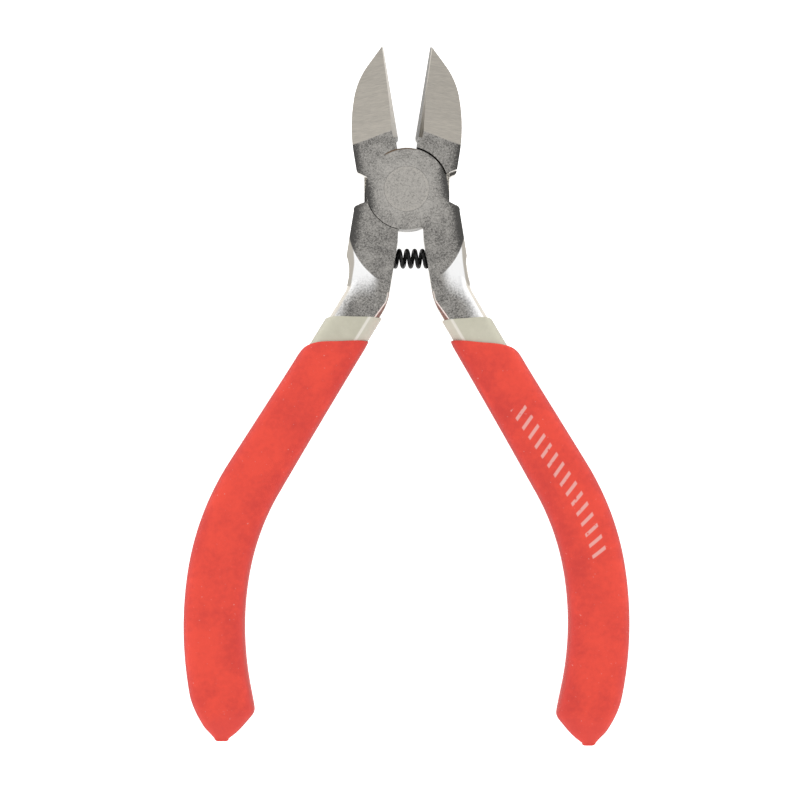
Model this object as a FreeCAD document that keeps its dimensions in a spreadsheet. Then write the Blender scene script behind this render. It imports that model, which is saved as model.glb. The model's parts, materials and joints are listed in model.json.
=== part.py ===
import FreeCAD, Part
import math
import os
import re
import Sketcher
from FreeCAD import Placement, Rotation, Vector

# Sprue nippers: two forged levers in a riveted lap joint, pushed open by a coil spring, with a thin
# inner sleeve and a thick outer grip dipped onto each handle.
#
# The tool lies on its back: +Z out of its front face, +Y towards the blade tips, and the origin on the
# pivot axis at the back face. A lever is drawn closed, with its mid-plane on z = 0 and its cutting edge
# along the Y axis, then turned open. Both levers are forged alike, and the rear one is turned over.

# Driving dimensions in millimetres, and angles in degrees.
SIZES = {
    "head_thickness": 8.0,
    "half_opening": 9.2,
    "disc_radius": 6.7,
    "shoulder_gap": 0.3,
    "boss_gap": 0.12,
    "lap_clearance": 0.025,
    "shoulder_angle": 25.5,
    "shoulder_relief": 5.0,
    "boss_shoulder_angle": 26.9,
    "edge_clearance": 0.03,
    "jaw_reach": 23.95,
    "jaw_width": 7.65,
    "jaw_straight": 7.0,
    "jaw_side_radius": 28.0,
    "jaw_nose_radius": 12.5,
    "tip_flat": 0.35,
    "heel_height": 8.7,
    "heel_recess": 0.5,
    "grind_start": 9.69,
    "grind_tilt": 11.7,
    "grind_radius": 60.0,
    "tip_thickness": 2.5,
    "front_bevel_heel": 1.1,
    "front_bevel_tip": 0.4,
    "back_edge_heel": 0.55,
    "back_edge_tip": 0.25,
    "back_bevel_heel": 1.8,
    "back_bevel_tip": 1.0,
    "boss_width": 8.0,
    "boss_length": 17.2,
    "boss_face_radius": 10.9,
    "boss_face_x": 2.24,
    "boss_face_y": 5.27,
    "boss_slope_angle": 22.0,
    "boss_slope_heading": 50.0,
    "boss_slope_foot": 0.1,
    "flank_width": 7.33,
    "flank_rise": 0.2,
    "front_inner_face": 1.45,
    "rear_inner_face": 0.1,
    "front_tang_width": 6.35,
    "rear_tang_width": 7.05,
    "tang_thickness": 6.2,
    "tang_round": 2.0,
    "tang_edge": 1.4,
    "neck_edge": 0.3,
    "neck_length": 3.5,
    "facet_start": 18.0,
    "facet_run_out": 2.5,
    "facet_lean": 27.0,
    "facet_length": 8.0,
    "tang_bend": 17.3,
    "tang_bend_radius": 5.5,
    "front_lean": 21.3,
    "rear_lean": 22.4,
    "handle_straight": 34.1,
    "palm_radius": 43.0,
    "tail_radius": 55.0,
    "tang_tail_turn": 10.0,
    "sleeve_tail_turn": 12.0,
    "grip_tail_turn": 21.0,
    "sleeve_wall": 0.45,
    "sleeve_start": 22.0,
    "grip_width": 9.4,
    "grip_start": 26.4,
    "palm_width": 10.6,
    "grip_corner_share": 0.44,
    "grip_tip_width": 2.9,
    "grip_tip_drop": 7.0,
    "grip_tip_inset": 1.5,
    "rivet_radius": 2.4,
    "rivet_head_radius": 3.7,
    "rivet_clearance": 0.04,
    "spring_height": 11.55,
    "spring_tilt": 4.6,
    "spring_wire": 0.6,
    "spring_radius": 1.375,
    "spring_turns": 7.0,
    "well_radius": 2.0,
    "well_depth": 1.8,
    "cut_margin": 1.5,
}

doc = FreeCAD.newDocument("SprueNippers")
sheet = doc.addObject("Spreadsheet::Sheet", "Sizes")
for row, (size_name, size) in enumerate(SIZES.items(), start=1):
    sheet.set(f"A{row}", size_name)
    sheet.set(f"B{row}", str(size))
    sheet.setAlias(f"B{row}", size_name)
doc.recompute()


def amount(text):
    """Value of an expression of sheet names."""
    return float(sheet.evalExpression(text))


def bound(text):
    """The same expression, as an object other than the sheet writes it."""
    return re.sub(r"\b([a-z]+_[a-z_]+)\b", r"Sizes.\1", text)


def new_body(name):
    """Body for one piece of metal or one dipped coat."""
    body = doc.addObject("PartDesign::Body", name)
    body.Label = name
    return body


def origin_plane(body, role):
    """One of a body's three origin planes."""
    return next(item for item in body.Origin.OriginFeatures if item.Role == role)


def add_feature(body, kind, name, **settings):
    """PartDesign feature on top of a body's last one."""
    feature = body.newObject("PartDesign::" + kind, name)
    for setting, value in settings.items():
        if isinstance(value, str) and setting in ("Length", "Angle", "Height", "Turns"):
            feature.setExpression(setting, bound(value))
        else:
            setattr(feature, setting, value)
    return feature


def round_edge(start, end, radius):
    """Arc from start to end, with its centre on the left of the walk if the radius is above zero."""
    chord = end - start
    reach = math.sqrt(radius * radius - chord.Length * chord.Length / 4)
    sideways = Vector(-chord.y, chord.x, 0).normalize()
    centre = (start + end) / 2 + sideways * math.copysign(reach, radius)
    circle = Part.Circle(centre, Vector(0, 0, 1), abs(radius))
    first, last = (start, end) if radius > 0 else (end, start)
    return Part.ArcOfCircle(circle, circle.parameter(first), circle.parameter(last))


def draw(body, name, plane, corners, offset=Placement(), closed=True):
    """Sketch on an origin plane, of straight edges and arcs from corner to corner.

    A corner is (x, y) where a straight edge ends, or (x, y, radius) where an arc ends.
    """
    sketch = body.newObject("Sketcher::SketchObject", name)
    sketch.AttachmentSupport = [(origin_plane(body, plane), "")]
    sketch.MapMode = "FlatFace"
    sketch.AttachmentOffset = offset
    points = [Vector(amount(corner[0]), amount(corner[1]), 0) for corner in corners]
    edge_count = len(corners) if closed else len(corners) - 1
    walk = []
    for index in range(edge_count):
        after = (index + 1) % len(corners)
        if len(corners[after]) == 2:
            number = sketch.addGeometry(Part.LineSegment(points[index], points[after]))
            walk.append((number, 1, 2))
        else:
            radius = corners[after][2]
            number = sketch.addGeometry(round_edge(points[index], points[after], amount(radius)))
            walk.append((number, 1, 2) if amount(radius) > 0 else (number, 2, 1))
            rule = sketch.addConstraint(Sketcher.Constraint("Radius", number, abs(amount(radius))))
            sketch.setExpression(f"Constraints[{rule}]", bound(f"abs({radius})"))
    for index, (number, _, last) in enumerate(walk[:None if closed else -1]):
        after, first, _ = walk[(index + 1) % len(walk)]
        sketch.addConstraint(Sketcher.Constraint("Coincident", number, last, after, first))
    for index, corner in enumerate(corners):
        number, first, last = walk[min(index, edge_count - 1)]
        vertex = first if index < edge_count else last
        for direction, text in zip(("DistanceX", "DistanceY"), corner):
            rule = Sketcher.Constraint(direction, -1, 1, number, vertex, amount(text))
            rule_number = sketch.addConstraint(rule)
            sketch.setExpression(f"Constraints[{rule_number}]", bound(text))
    return sketch


def draw_circle(body, name, plane, x, y, radius, offset=Placement()):
    """Sketch of one circle on an origin plane."""
    sketch = body.newObject("Sketcher::SketchObject", name)
    sketch.AttachmentSupport = [(origin_plane(body, plane), "")]
    sketch.MapMode = "FlatFace"
    sketch.AttachmentOffset = offset
    centre = Vector(amount(x), amount(y), 0)
    number = sketch.addGeometry(Part.Circle(centre, Vector(0, 0, 1), amount(radius)))
    for kind, place, text in (("DistanceX", (-1, 1, number, 3), x), ("DistanceY", (-1, 1, number, 3), y),
                              ("Radius", (number,), radius)):
        rule = sketch.addConstraint(Sketcher.Constraint(kind, *place, amount(text)))
        sketch.setExpression(f"Constraints[{rule}]", bound(text))
    return sketch


def rounded_box(width, thickness, corner):
    """Corners of a rounded rectangle about the sketch's origin, as expressions."""
    side, face = f"({width})/2", f"({thickness})/2"
    inner_side, inner_face = f"({side}-{corner})", f"({face}-{corner})"
    return [
        (inner_side, f"-{face}"), (side, f"-{inner_face}", corner),
        (side, inner_face), (inner_side, face, corner),
        (f"-{inner_side}", face), (f"-{side}", inner_face, corner),
        (f"-{side}", f"-{inner_face}"), (f"-{inner_side}", f"-{face}", corner),
    ]


def lever_outline(lever):
    """Lever from above: jaw, half of the joint disc, and boss, walked leftwards from the blade tip."""
    shoulder_x = "cos(shoulder_angle*1deg)"
    shoulder_y = "sin(shoulder_angle*1deg)"
    inner, outer = f"{lever}_inner_face", f"{lever}_inner_face+{lever}_tang_width"
    crotch = f"{inner}+0.03*boss_width"
    return [
        ("-edge_clearance", "jaw_reach"),
        ("-tip_flat", "jaw_reach-0.15*tip_flat"),
        ("-0.41*jaw_width", "0.882*jaw_reach"),
        ("-0.8*jaw_width", "0.68*jaw_reach", "jaw_nose_radius"),
        ("-jaw_width", "jaw_straight", "jaw_side_radius"),
        ("-jaw_width", "0.57*jaw_width"),
        ("-0.935*jaw_width", "0.48*jaw_width", "0.1*jaw_width"),
        (f"-disc_radius*{shoulder_x}", f"disc_radius*{shoulder_y}"),
        ("-0.5*disc_radius", "-sqrt(0.75)*disc_radius", "disc_radius"),
        (crotch, f"-sqrt(disc_radius^2-({crotch})^2)", "disc_radius"),
        (inner, "-1.3*disc_radius"),
        (inner, "-boss_length"),
        (outer, "-boss_length"),
        (outer, "-0.96*boss_length"),
        ("boss_width", "-0.72*boss_length", "-0.9*boss_width"),
        ("boss_width", "-0.62*boss_width"),
        ("0.94*boss_width", "-0.49*boss_width", "0.1*boss_width"),
        ("0.82*boss_width", "-0.4*boss_width"),
        ("flank_width", "flank_rise*flank_width"),
        ("cos(atan(flank_rise))*disc_radius", "sin(atan(flank_rise))*disc_radius"),
        ("-heel_recess", "sqrt(disc_radius^2-heel_recess^2)", "disc_radius"),
        ("-heel_recess", "heel_height-heel_recess"),
        ("-edge_clearance", "heel_height"),
    ]


def lap_outline():
    """Half of the joint that the other lever's disc and flank fill, between the two shoulders."""
    recess, boss_recess, beyond = "(disc_radius+shoulder_gap)", "(disc_radius+boss_gap)", "(1.4*disc_radius)"
    boss, jaw = "(-boss_shoulder_angle*1deg)", "((180-shoulder_angle-shoulder_relief)*1deg)"
    return [
        (f"{recess}*cos(60deg)", f"{recess}*sin(60deg)"),
        (f"{recess}*cos({jaw})", f"{recess}*sin({jaw})", recess),
        (f"{beyond}*cos({jaw})", f"{beyond}*sin({jaw})"),
        (f"-{beyond}", "0", beyond),
        (f"-{boss_recess}", "0"),
        (f"{boss_recess}*cos({boss})", f"{boss_recess}*sin({boss})", boss_recess),
        (f"{beyond}*cos({boss})", f"{beyond}*sin({boss})"),
        (f"{beyond}*cos(60deg)", f"{beyond}*sin(60deg)", beyond),
    ]


def grind_jaw(body, face):
    """Hollow grind of one jaw face, from its full thickness down to the thin tip."""
    turn = Rotation(Vector(0, 1, 0), amount("grind_tilt"))
    start, end = "grind_start", "1.02*jaw_reach"
    corners = [
        (start, "head_thickness"),
        (start, "head_thickness/2"),
        (end, "tip_thickness/2", "-grind_radius" if face < 0 else "grind_radius"),
        (end, "head_thickness"),
    ]
    corners = [(corner[0], f"{face}*{corner[1]}", *corner[2:]) for corner in corners]
    side = "Front" if face > 0 else "Back"
    sketch = draw(body, side + "Grind", "YZ_Plane", corners, Placement(Vector(), turn))
    add_feature(body, "Pocket", side + "GrindCut", Profile=sketch, SideType="Symmetric",
                Length="4*jaw_width")


def bevel_jaw(body, name, heel, tip):
    """Cutting bevel between a section at the heel and one at the tip, each walked from the edge out."""
    sections = []
    for place, height, facets in (("Heel", "heel_height-edge_clearance", heel),
                                  ("Tip", "jaw_reach+cut_margin", tip)):
        far = facets[-1][1]
        corners = [("-edge_clearance", "0"), *facets, ("cut_margin", far), ("cut_margin", "0")]
        offset = Placement(Vector(0, 0, -amount(height)), Rotation())
        sketch = draw(body, name + place, "XZ_Plane", corners, offset)
        sketch.setExpression("AttachmentOffset.Base.z", bound(f"-({height})"))
        sections.append(sketch)
    add_feature(body, "SubtractiveLoft", name, Profile=sections[0], Sections=sections[1:], Ruled=True)


def slope_boss(body):
    """Thick boss falls to the thinner tang over a sloping shoulder on both faces."""
    for side, face in (("Front", 1), ("Back", -1)):
        top, foot = f"{face}*head_thickness/2", f"{face}*boss_slope_foot"
        run = "(head_thickness/2-boss_slope_foot)/tan(boss_slope_angle*1deg)"
        corners = [
            ("boss_face_radius", top),
            (f"boss_face_radius+{run}", foot),
            ("3*boss_face_radius", foot),
            ("3*boss_face_radius", f"1.5*{top}"),
            ("boss_face_radius", f"1.5*{top}"),
        ]
        centre = across(-amount("boss_face_x"), -amount("boss_face_y"), -amount("boss_slope_heading"))
        sketch = draw(body, side + "Slope", "XZ_Plane", corners, centre)
        add_feature(body, "Groove", side + "SlopeCut", Profile=sketch, ReferenceAxis=(sketch, ["V_Axis"]),
                    Midplane=True, Angle="90")


def tang_middle(lever):
    """Distance of a tang's middle from the closed tool's centre line, above the bend."""
    return f"({lever}_inner_face+{lever}_tang_width/2)"


def neck_path(lever, straight):
    """Corners of the handle's centre line, from inside the boss to the end of a straight below the bend."""
    line_x = tang_middle(lever)
    lean = f"{lever}_lean*1deg"
    bend_x = f"({line_x}+tang_bend_radius*(1-cos({lean})))"
    bend_y = f"(-tang_bend-tang_bend_radius*sin({lean}))"
    return [
        (line_x, "-0.75*boss_length"),
        (line_x, "-tang_bend"),
        (bend_x, bend_y, "tang_bend_radius"),
        (f"({bend_x}+{straight}*sin({lean}))", f"({bend_y}-{straight}*cos({lean}))"),
    ]


def handle_path(lever, tail_turn):
    """Corners of the handle's whole centre line, down to a turn of the tail past the palm."""
    neck = neck_path(lever, "handle_straight")
    palm_x, palm_y = neck[-1]
    lean = f"{lever}_lean*1deg"
    tail_x = f"({palm_x}+palm_radius*(1-cos({lean})))"
    tail_y = f"({palm_y}-palm_radius*sin({lean}))"
    return neck + [
        (tail_x, tail_y, "-palm_radius"),
        (f"{tail_x}-tail_radius*(1-cos({tail_turn}))", f"{tail_y}-tail_radius*sin({tail_turn})",
         "-tail_radius"),
    ]


def tang_section(lever, coat, edge):
    """Tang seen along its length: flat edges inside, rounded outside, with a coat of even thickness."""
    side, face = f"({lever}_tang_width/2+{coat})", f"(tang_thickness/2+{coat})"
    inner, low = f"({side}-{edge})", f"({face}-{edge})"
    outer, high = f"({side}-tang_round)", f"({face}-tang_round)"
    return [
        (f"-{inner}", f"-{face}"), (outer, f"-{face}"), (side, f"-{high}", "tang_round"),
        (side, high), (outer, face, "tang_round"), (f"-{inner}", face),
        (f"-{side}", low), (f"-{side}", f"-{low}"),
    ]


def handle_station(lever, tail_turn):
    """Point and heading, in degrees, where the handle's centre line ends after a turn of its tail."""
    x, y = (amount(text) for text in handle_path(lever, tail_turn)[-1][:2])
    return x, y, -amount(f"{tail_turn}/1deg")


def across(x, y, heading):
    """Placement of a section that lies square to a heading, at a point of the handle."""
    return Placement(Vector(x, 0, -y), Rotation(Vector(0, 1, 0), heading))


def run_along_handle(body, name, path, first, last=None, end=None):
    """Sweep of a first section along a centre line, that becomes the last one where a placement is given."""
    spine = draw(body, name + "Path", "XY_Plane", path, closed=False)
    x, y = (amount(text) for text in path[0][:2])
    profile = draw(body, name + "Start", "XZ_Plane", first, across(x, y, 0))
    sweep = add_feature(body, "AdditivePipe", name, Profile=profile, Spine=spine)
    if last:
        sweep.Transformation = "Multisection"
        sweep.Sections = [draw(body, name + "End", "XZ_Plane", last, end)]


def cut_facets(body, lever):
    """Flat facet along each inner edge of the neck, which runs out to a point in the boss above."""
    lean = math.radians(amount("facet_lean"))
    run_out = amount("facet_run_out")
    start = across(amount(f"{lever}_inner_face") - run_out * math.sin(lean),
                   -amount("facet_start") + run_out * math.cos(lean), amount("facet_lean"))
    for side, face in (("Front", 1), ("Back", -1)):
        corners = [
            ("cut_margin", f"{face}*(tang_thickness/2+cut_margin)"),
            ("-tang_thickness", f"{face}*(tang_thickness/2+cut_margin)"),
            ("-tang_thickness", f"-{face}*tang_thickness/2"),
        ]
        sketch = draw(body, side + "Facet", "XZ_Plane", corners, start)
        add_feature(body, "Pocket", side + "FacetCut", Profile=sketch, Reversed=True,
                    Length="facet_length+facet_run_out")


def make_lever(name, lever, bore_clearance):
    """One forged lever, drawn closed with its jaw on the left and its half of the disc in front."""
    body = new_body(name)
    blank = draw(body, "Blank", "XY_Plane", lever_outline(lever))
    add_feature(body, "Pad", "BlankPad", Profile=blank, SideType="Symmetric", Length="head_thickness")
    lap_offset = Placement(Vector(0, 0, amount("lap_clearance")), Rotation())
    lap = draw(body, "Lap", "XY_Plane", lap_outline(), lap_offset)
    lap.setExpression("AttachmentOffset.Base.z", "Sizes.lap_clearance")
    add_feature(body, "Pocket", "LapCut", Profile=lap, Length="head_thickness")
    slope_boss(body)
    for face in (1, -1):
        grind_jaw(body, face)
    bevel_jaw(body, "FrontBevel",
              [("-edge_clearance-front_bevel_heel", "0.65*head_thickness")],
              [("-edge_clearance-front_bevel_tip", "tip_thickness")])
    bevel_jaw(body, "BackBevel",
              [("-edge_clearance-back_edge_heel", "-0.34*head_thickness"),
               ("-edge_clearance-back_bevel_heel", "-0.65*head_thickness")],
              [("-edge_clearance-back_edge_tip", "-0.3*tip_thickness"),
               ("-edge_clearance-back_bevel_tip", "-tip_thickness")])
    run_along_handle(body, "Neck", neck_path(lever, "neck_length"), tang_section(lever, "0", "neck_edge"))
    run_along_handle(body, "Tang", handle_path(lever, "tang_tail_turn*1deg"),
                     tang_section(lever, "0", "tang_edge"))
    cut_facets(body, lever)
    radius, head = f"rivet_radius+{bore_clearance}", f"rivet_head_radius+{bore_clearance}"
    bore = draw(body, "RivetBore", "XZ_Plane", [
        ("0", "-cut_margin"),
        (radius, "-cut_margin"),
        (radius, "head_thickness/2-(rivet_head_radius-rivet_radius)"),
        (head, "head_thickness/2"),
        (head, "head_thickness/2+cut_margin"),
        ("0", "head_thickness/2+cut_margin"),
    ])
    add_feature(body, "Groove", "RivetBoreCut", Profile=bore, ReferenceAxis=(bore, ["V_Axis"]), Angle="360")
    turn = Rotation(Vector(0, 1, 0), -amount("spring_tilt"))
    place = Vector(-amount("spring_height"), 0, amount(f"{lever}_inner_face"))
    well = draw_circle(body, "SpringWell", "YZ_Plane", "0", "0", "well_radius", Placement(place, turn))
    add_feature(body, "Pocket", "SpringWellCut", Profile=well, SideType="Symmetric", Length="2*well_depth")
    return body


def make_rivet():
    """Rivet with a countersunk head ground flush at each face."""
    body = new_body("pivot_rivet")
    head = "(head_thickness/2)"
    cone = f"({head}-(rivet_head_radius-rivet_radius))"
    section = draw(body, "RivetSection", "XZ_Plane", [
        ("0", f"-{head}"), ("rivet_head_radius", f"-{head}"), ("rivet_radius", f"-{cone}"),
        ("rivet_radius", cone), ("rivet_head_radius", head), ("0", head),
    ])
    add_feature(body, "Revolution", "RivetTurned", Profile=section, ReferenceAxis=(section, ["V_Axis"]),
                Angle="360")
    return body


def make_spring():
    """Coil spring along X, between the floors of the two wells."""
    body = new_body("return_spring")
    low = amount("-rear_inner_face*cos(half_opening*1deg)-spring_height*sin(half_opening*1deg)")
    high = amount("front_inner_face*cos(half_opening*1deg)+spring_height*sin(half_opening*1deg)")
    reach = amount("0.97*well_depth-spring_wire/2")
    wire = draw_circle(body, "Wire", "XZ_Plane", "spring_radius", "0", "spring_wire/2")
    coil = add_feature(body, "AdditiveHelix", "Coil", Profile=wire, ReferenceAxis=(wire, ["V_Axis"]),
                       Mode="height-turns-angle", Turns="spring_turns")
    coil.Height = high - low + 2 * reach
    drop = amount("spring_height*cos(half_opening*1deg)-(front_inner_face+rear_inner_face)/2"
                  "*sin(half_opening*1deg)")
    body.Placement = Placement(Vector(low - reach, -drop, amount("head_thickness/2")),
                               Rotation(Vector(0, 1, 0), 90))
    return body


def trim_lip(body, lever, start):
    """Cut a coat off level at its lip, as the open tool hangs in the dip."""
    turn = Rotation(Vector(0, 0, 1), -amount("half_opening"))
    drop = f"({start}-tang_bend-tang_bend_radius*tan({lever}_lean/2*1deg))"
    x = amount(f"{tang_middle(lever)}+{drop}*tan({lever}_lean*1deg)")
    offset = Placement(Vector(x, -amount(start), 0), turn)
    reach = "3*grip_width"
    corners = [(f"-{reach}", "0"), (reach, "0"), (reach, reach), (f"-{reach}", reach)]
    sketch = draw(body, "Lip", "XY_Plane", corners, offset)
    add_feature(body, "Pocket", "LipCut", Profile=sketch, SideType="Symmetric", Length="2*head_thickness")


def make_sleeve_blank(name, lever):
    """Thin inner coat round the tang and just past its end, still solid."""
    body = new_body(name)
    run_along_handle(body, "Coat", handle_path(lever, "sleeve_tail_turn*1deg"),
                     tang_section(lever, "sleeve_wall", "tang_edge"))
    trim_lip(body, lever, "sleeve_start")
    return body


def make_grip_blank(name, lever):
    """Thick outer coat, still solid: slim above, full in the palm, and tapered to a blunt tip."""
    body = new_body(name)
    slim, full, tip = (rounded_box(width, thickness, f"grip_corner_share*{thickness}")
                       for width, thickness in (("grip_width", "head_thickness"),
                                                ("palm_width", "head_thickness"),
                                                ("grip_tip_width", "grip_tip_width")))
    tail_turn = "grip_tail_turn*1deg"
    x, y, heading = handle_station(lever, tail_turn)
    run_along_handle(body, "Coat", handle_path(lever, tail_turn), slim, full, across(x, y, heading))
    base = draw(body, "ConeBase", "XZ_Plane", full, across(x, y, heading))
    end = across(x - amount("grip_tip_inset"), y - amount("grip_tip_drop"), 0)
    point = draw(body, "ConeTip", "XZ_Plane", tip, end)
    add_feature(body, "AdditiveLoft", "Cone", Profile=base, Sections=[point], Ruled=True)
    trim_lip(body, lever, "grip_start")
    return body


def hollow(name, outside, inside, placement):
    """Coat with the hollow that the pieces inside it fill."""
    cut = doc.addObject("Part::Cut", name + "_cut")
    cut.Label = name
    cut.Base = outside
    cut.Tool = inside
    for piece in (outside, inside):
        piece.setExpression("Placement", placement)
    return cut


def turned(sign):
    """Placement of a lever opened by half the opening: the front one as drawn, the rear one turned over."""
    lift = "create(<<vector>>; 0; 0; Sizes.head_thickness/2)"
    if sign > 0:
        axis, angle = "create(<<vector>>; 0; 0; 1)", "Sizes.half_opening"
    else:
        half = "Sizes.half_opening/2*1deg"
        axis, angle = f"create(<<vector>>; sin({half}); cos({half}); 0)", "180"
    return f"create(<<placement>>; {lift}; create(<<rotation>>; {axis}; {angle}))"


pieces = []
for lever_side, side, sign, clearance in (("front", "right", 1, "rivet_clearance"),
                                          ("rear", "left", -1, "0")):
    lever = make_lever(lever_side + "_lever", lever_side, clearance)
    lever.setExpression("Placement", turned(sign))
    sleeve_blank = make_sleeve_blank(side + "_sleeve_blank", lever_side)
    grip_blank = make_grip_blank(side + "_grip_blank", lever_side)
    sleeve = hollow(side + "_inner_sleeve", sleeve_blank, lever, turned(sign))
    grip = hollow(side + "_outer_grip", grip_blank, sleeve_blank, turned(sign))
    pieces += [lever, sleeve, grip]

rivet = make_rivet()
rivet.setExpression("Placement.Base.z", "Sizes.head_thickness/2")
pieces += [rivet, make_spring()]

doc.recompute()
for item in doc.Objects:
    faults = [state for state in item.State if state in ("Invalid", "Error")]
    if faults:
        raise RuntimeError(f"{item.Label} is {faults}: {item.getStatusString()}")
os.makedirs("parts", exist_ok=True)
for piece in pieces:
    shape = piece.Shape
    if shape.isNull() or not shape.isValid() or len(shape.Solids) != 1:
        raise RuntimeError(f"{piece.Label} is not one valid solid")
    shape.exportStep(f"parts/{piece.Label}.step")
    box = shape.BoundBox
    print(f"{piece.Label}: {shape.Volume:.1f} mm3, x {box.XMin:.2f} to {box.XMax:.2f}, "
          f"y {box.YMin:.2f} to {box.YMax:.2f}, z {box.ZMin:.2f} to {box.ZMax:.2f}")
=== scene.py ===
"""Looks of a pair of sprue nippers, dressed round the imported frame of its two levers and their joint.

Lengths are in metres wherever Blender reads them and in millimetres inside the shape and shader formulas.
The tool lies on its back: +Z out of the front face, +Y towards the blade tips, pivot axis on Z.
"""

from __future__ import annotations

import json
import logging
import math
from dataclasses import dataclass
from enum import Enum

import bmesh
import bpy
import numpy as np
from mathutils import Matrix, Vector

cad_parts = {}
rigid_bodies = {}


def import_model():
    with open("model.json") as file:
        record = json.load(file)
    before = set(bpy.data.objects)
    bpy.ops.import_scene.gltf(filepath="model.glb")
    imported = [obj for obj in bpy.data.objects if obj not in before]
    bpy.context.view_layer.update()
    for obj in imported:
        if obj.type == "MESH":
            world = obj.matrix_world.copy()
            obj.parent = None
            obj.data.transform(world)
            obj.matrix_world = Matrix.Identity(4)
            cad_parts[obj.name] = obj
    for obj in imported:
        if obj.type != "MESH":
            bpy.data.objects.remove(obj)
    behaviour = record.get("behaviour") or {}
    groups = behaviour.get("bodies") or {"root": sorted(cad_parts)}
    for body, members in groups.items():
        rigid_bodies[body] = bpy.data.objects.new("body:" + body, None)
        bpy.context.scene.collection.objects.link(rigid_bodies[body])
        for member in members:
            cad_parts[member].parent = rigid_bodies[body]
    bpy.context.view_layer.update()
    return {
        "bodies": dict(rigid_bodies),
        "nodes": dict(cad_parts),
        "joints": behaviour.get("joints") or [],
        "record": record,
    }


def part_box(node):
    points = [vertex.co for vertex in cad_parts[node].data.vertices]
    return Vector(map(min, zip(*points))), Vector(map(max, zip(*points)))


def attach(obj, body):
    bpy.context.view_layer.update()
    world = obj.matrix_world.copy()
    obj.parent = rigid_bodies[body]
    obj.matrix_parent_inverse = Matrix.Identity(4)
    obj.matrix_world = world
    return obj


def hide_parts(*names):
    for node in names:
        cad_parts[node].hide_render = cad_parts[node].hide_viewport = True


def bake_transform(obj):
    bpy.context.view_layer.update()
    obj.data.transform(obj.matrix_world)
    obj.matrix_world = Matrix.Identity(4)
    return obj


LOG = logging.getLogger("nippers")

MM = 0.001
MIDDLE_HEIGHT = 4.0
HALF_OPENING = math.radians(9.2)
RIGHT_INNER_FACE = 1.45
LEFT_INNER_FACE = 0.1
RIGHT_TANG_WIDTH = 6.35
LEFT_TANG_WIDTH = 7.05

Colour = tuple[float, float, float]
Array = np.ndarray


class Side(Enum):
    """Side of the tool at the handles, with the sign of X there."""

    RIGHT = 1.0
    LEFT = -1.0


# ---------------------------------------------------------------- shader expressions


class Value:
    """Output socket of a shader node, which takes part in Python expressions."""

    def __init__(self, graph: Graph, socket: bpy.types.NodeSocket) -> None:
        """Wrap one socket of a graph."""
        self.graph = graph
        self.socket = socket

    def __add__(self, other: Value | float) -> Value:
        """Sum of two values."""
        return self.graph.maths("ADD", self, other)

    def __sub__(self, other: Value | float) -> Value:
        """Difference of two values."""
        return self.graph.maths("SUBTRACT", self, other)

    def __rsub__(self, other: float) -> Value:
        """Difference of a number and this value."""
        return self.graph.maths("SUBTRACT", other, self)

    def __mul__(self, other: Value | float) -> Value:
        """Product of two values."""
        return self.graph.maths("MULTIPLY", self, other)

    def __truediv__(self, other: Value | float) -> Value:
        """Quotient of two values."""
        return self.graph.maths("DIVIDE", self, other)

    def __pow__(self, other: float) -> Value:
        """This value raised to a power."""
        return self.graph.maths("POWER", self, other)

    __radd__ = __add__
    __rmul__ = __mul__

    def size(self) -> Value:
        """Value without its sign."""
        return self.graph.maths("ABSOLUTE", self)

    def at_least(self, other: Value | float) -> Value:
        """Greater of two values."""
        return self.graph.maths("MAXIMUM", self, other)

    def step(self, start: float, end: float) -> Value:
        """Smooth rise from 0 at start to 1 at end.

        Args:
            start: Value at which the result leaves 0.
            end: Value at which the result reaches 1, which may lie below start.

        Returns:
            The eased share of the way from start to end.
        """
        low, high = (0.0, 1.0) if start < end else (1.0, 0.0)
        values = {0: self, 1: min(start, end), 2: max(start, end), 3: low, 4: high}
        return self.graph.node("ShaderNodeMapRange", {"interpolation_type": "SMOOTHSTEP"}, values)


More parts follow.
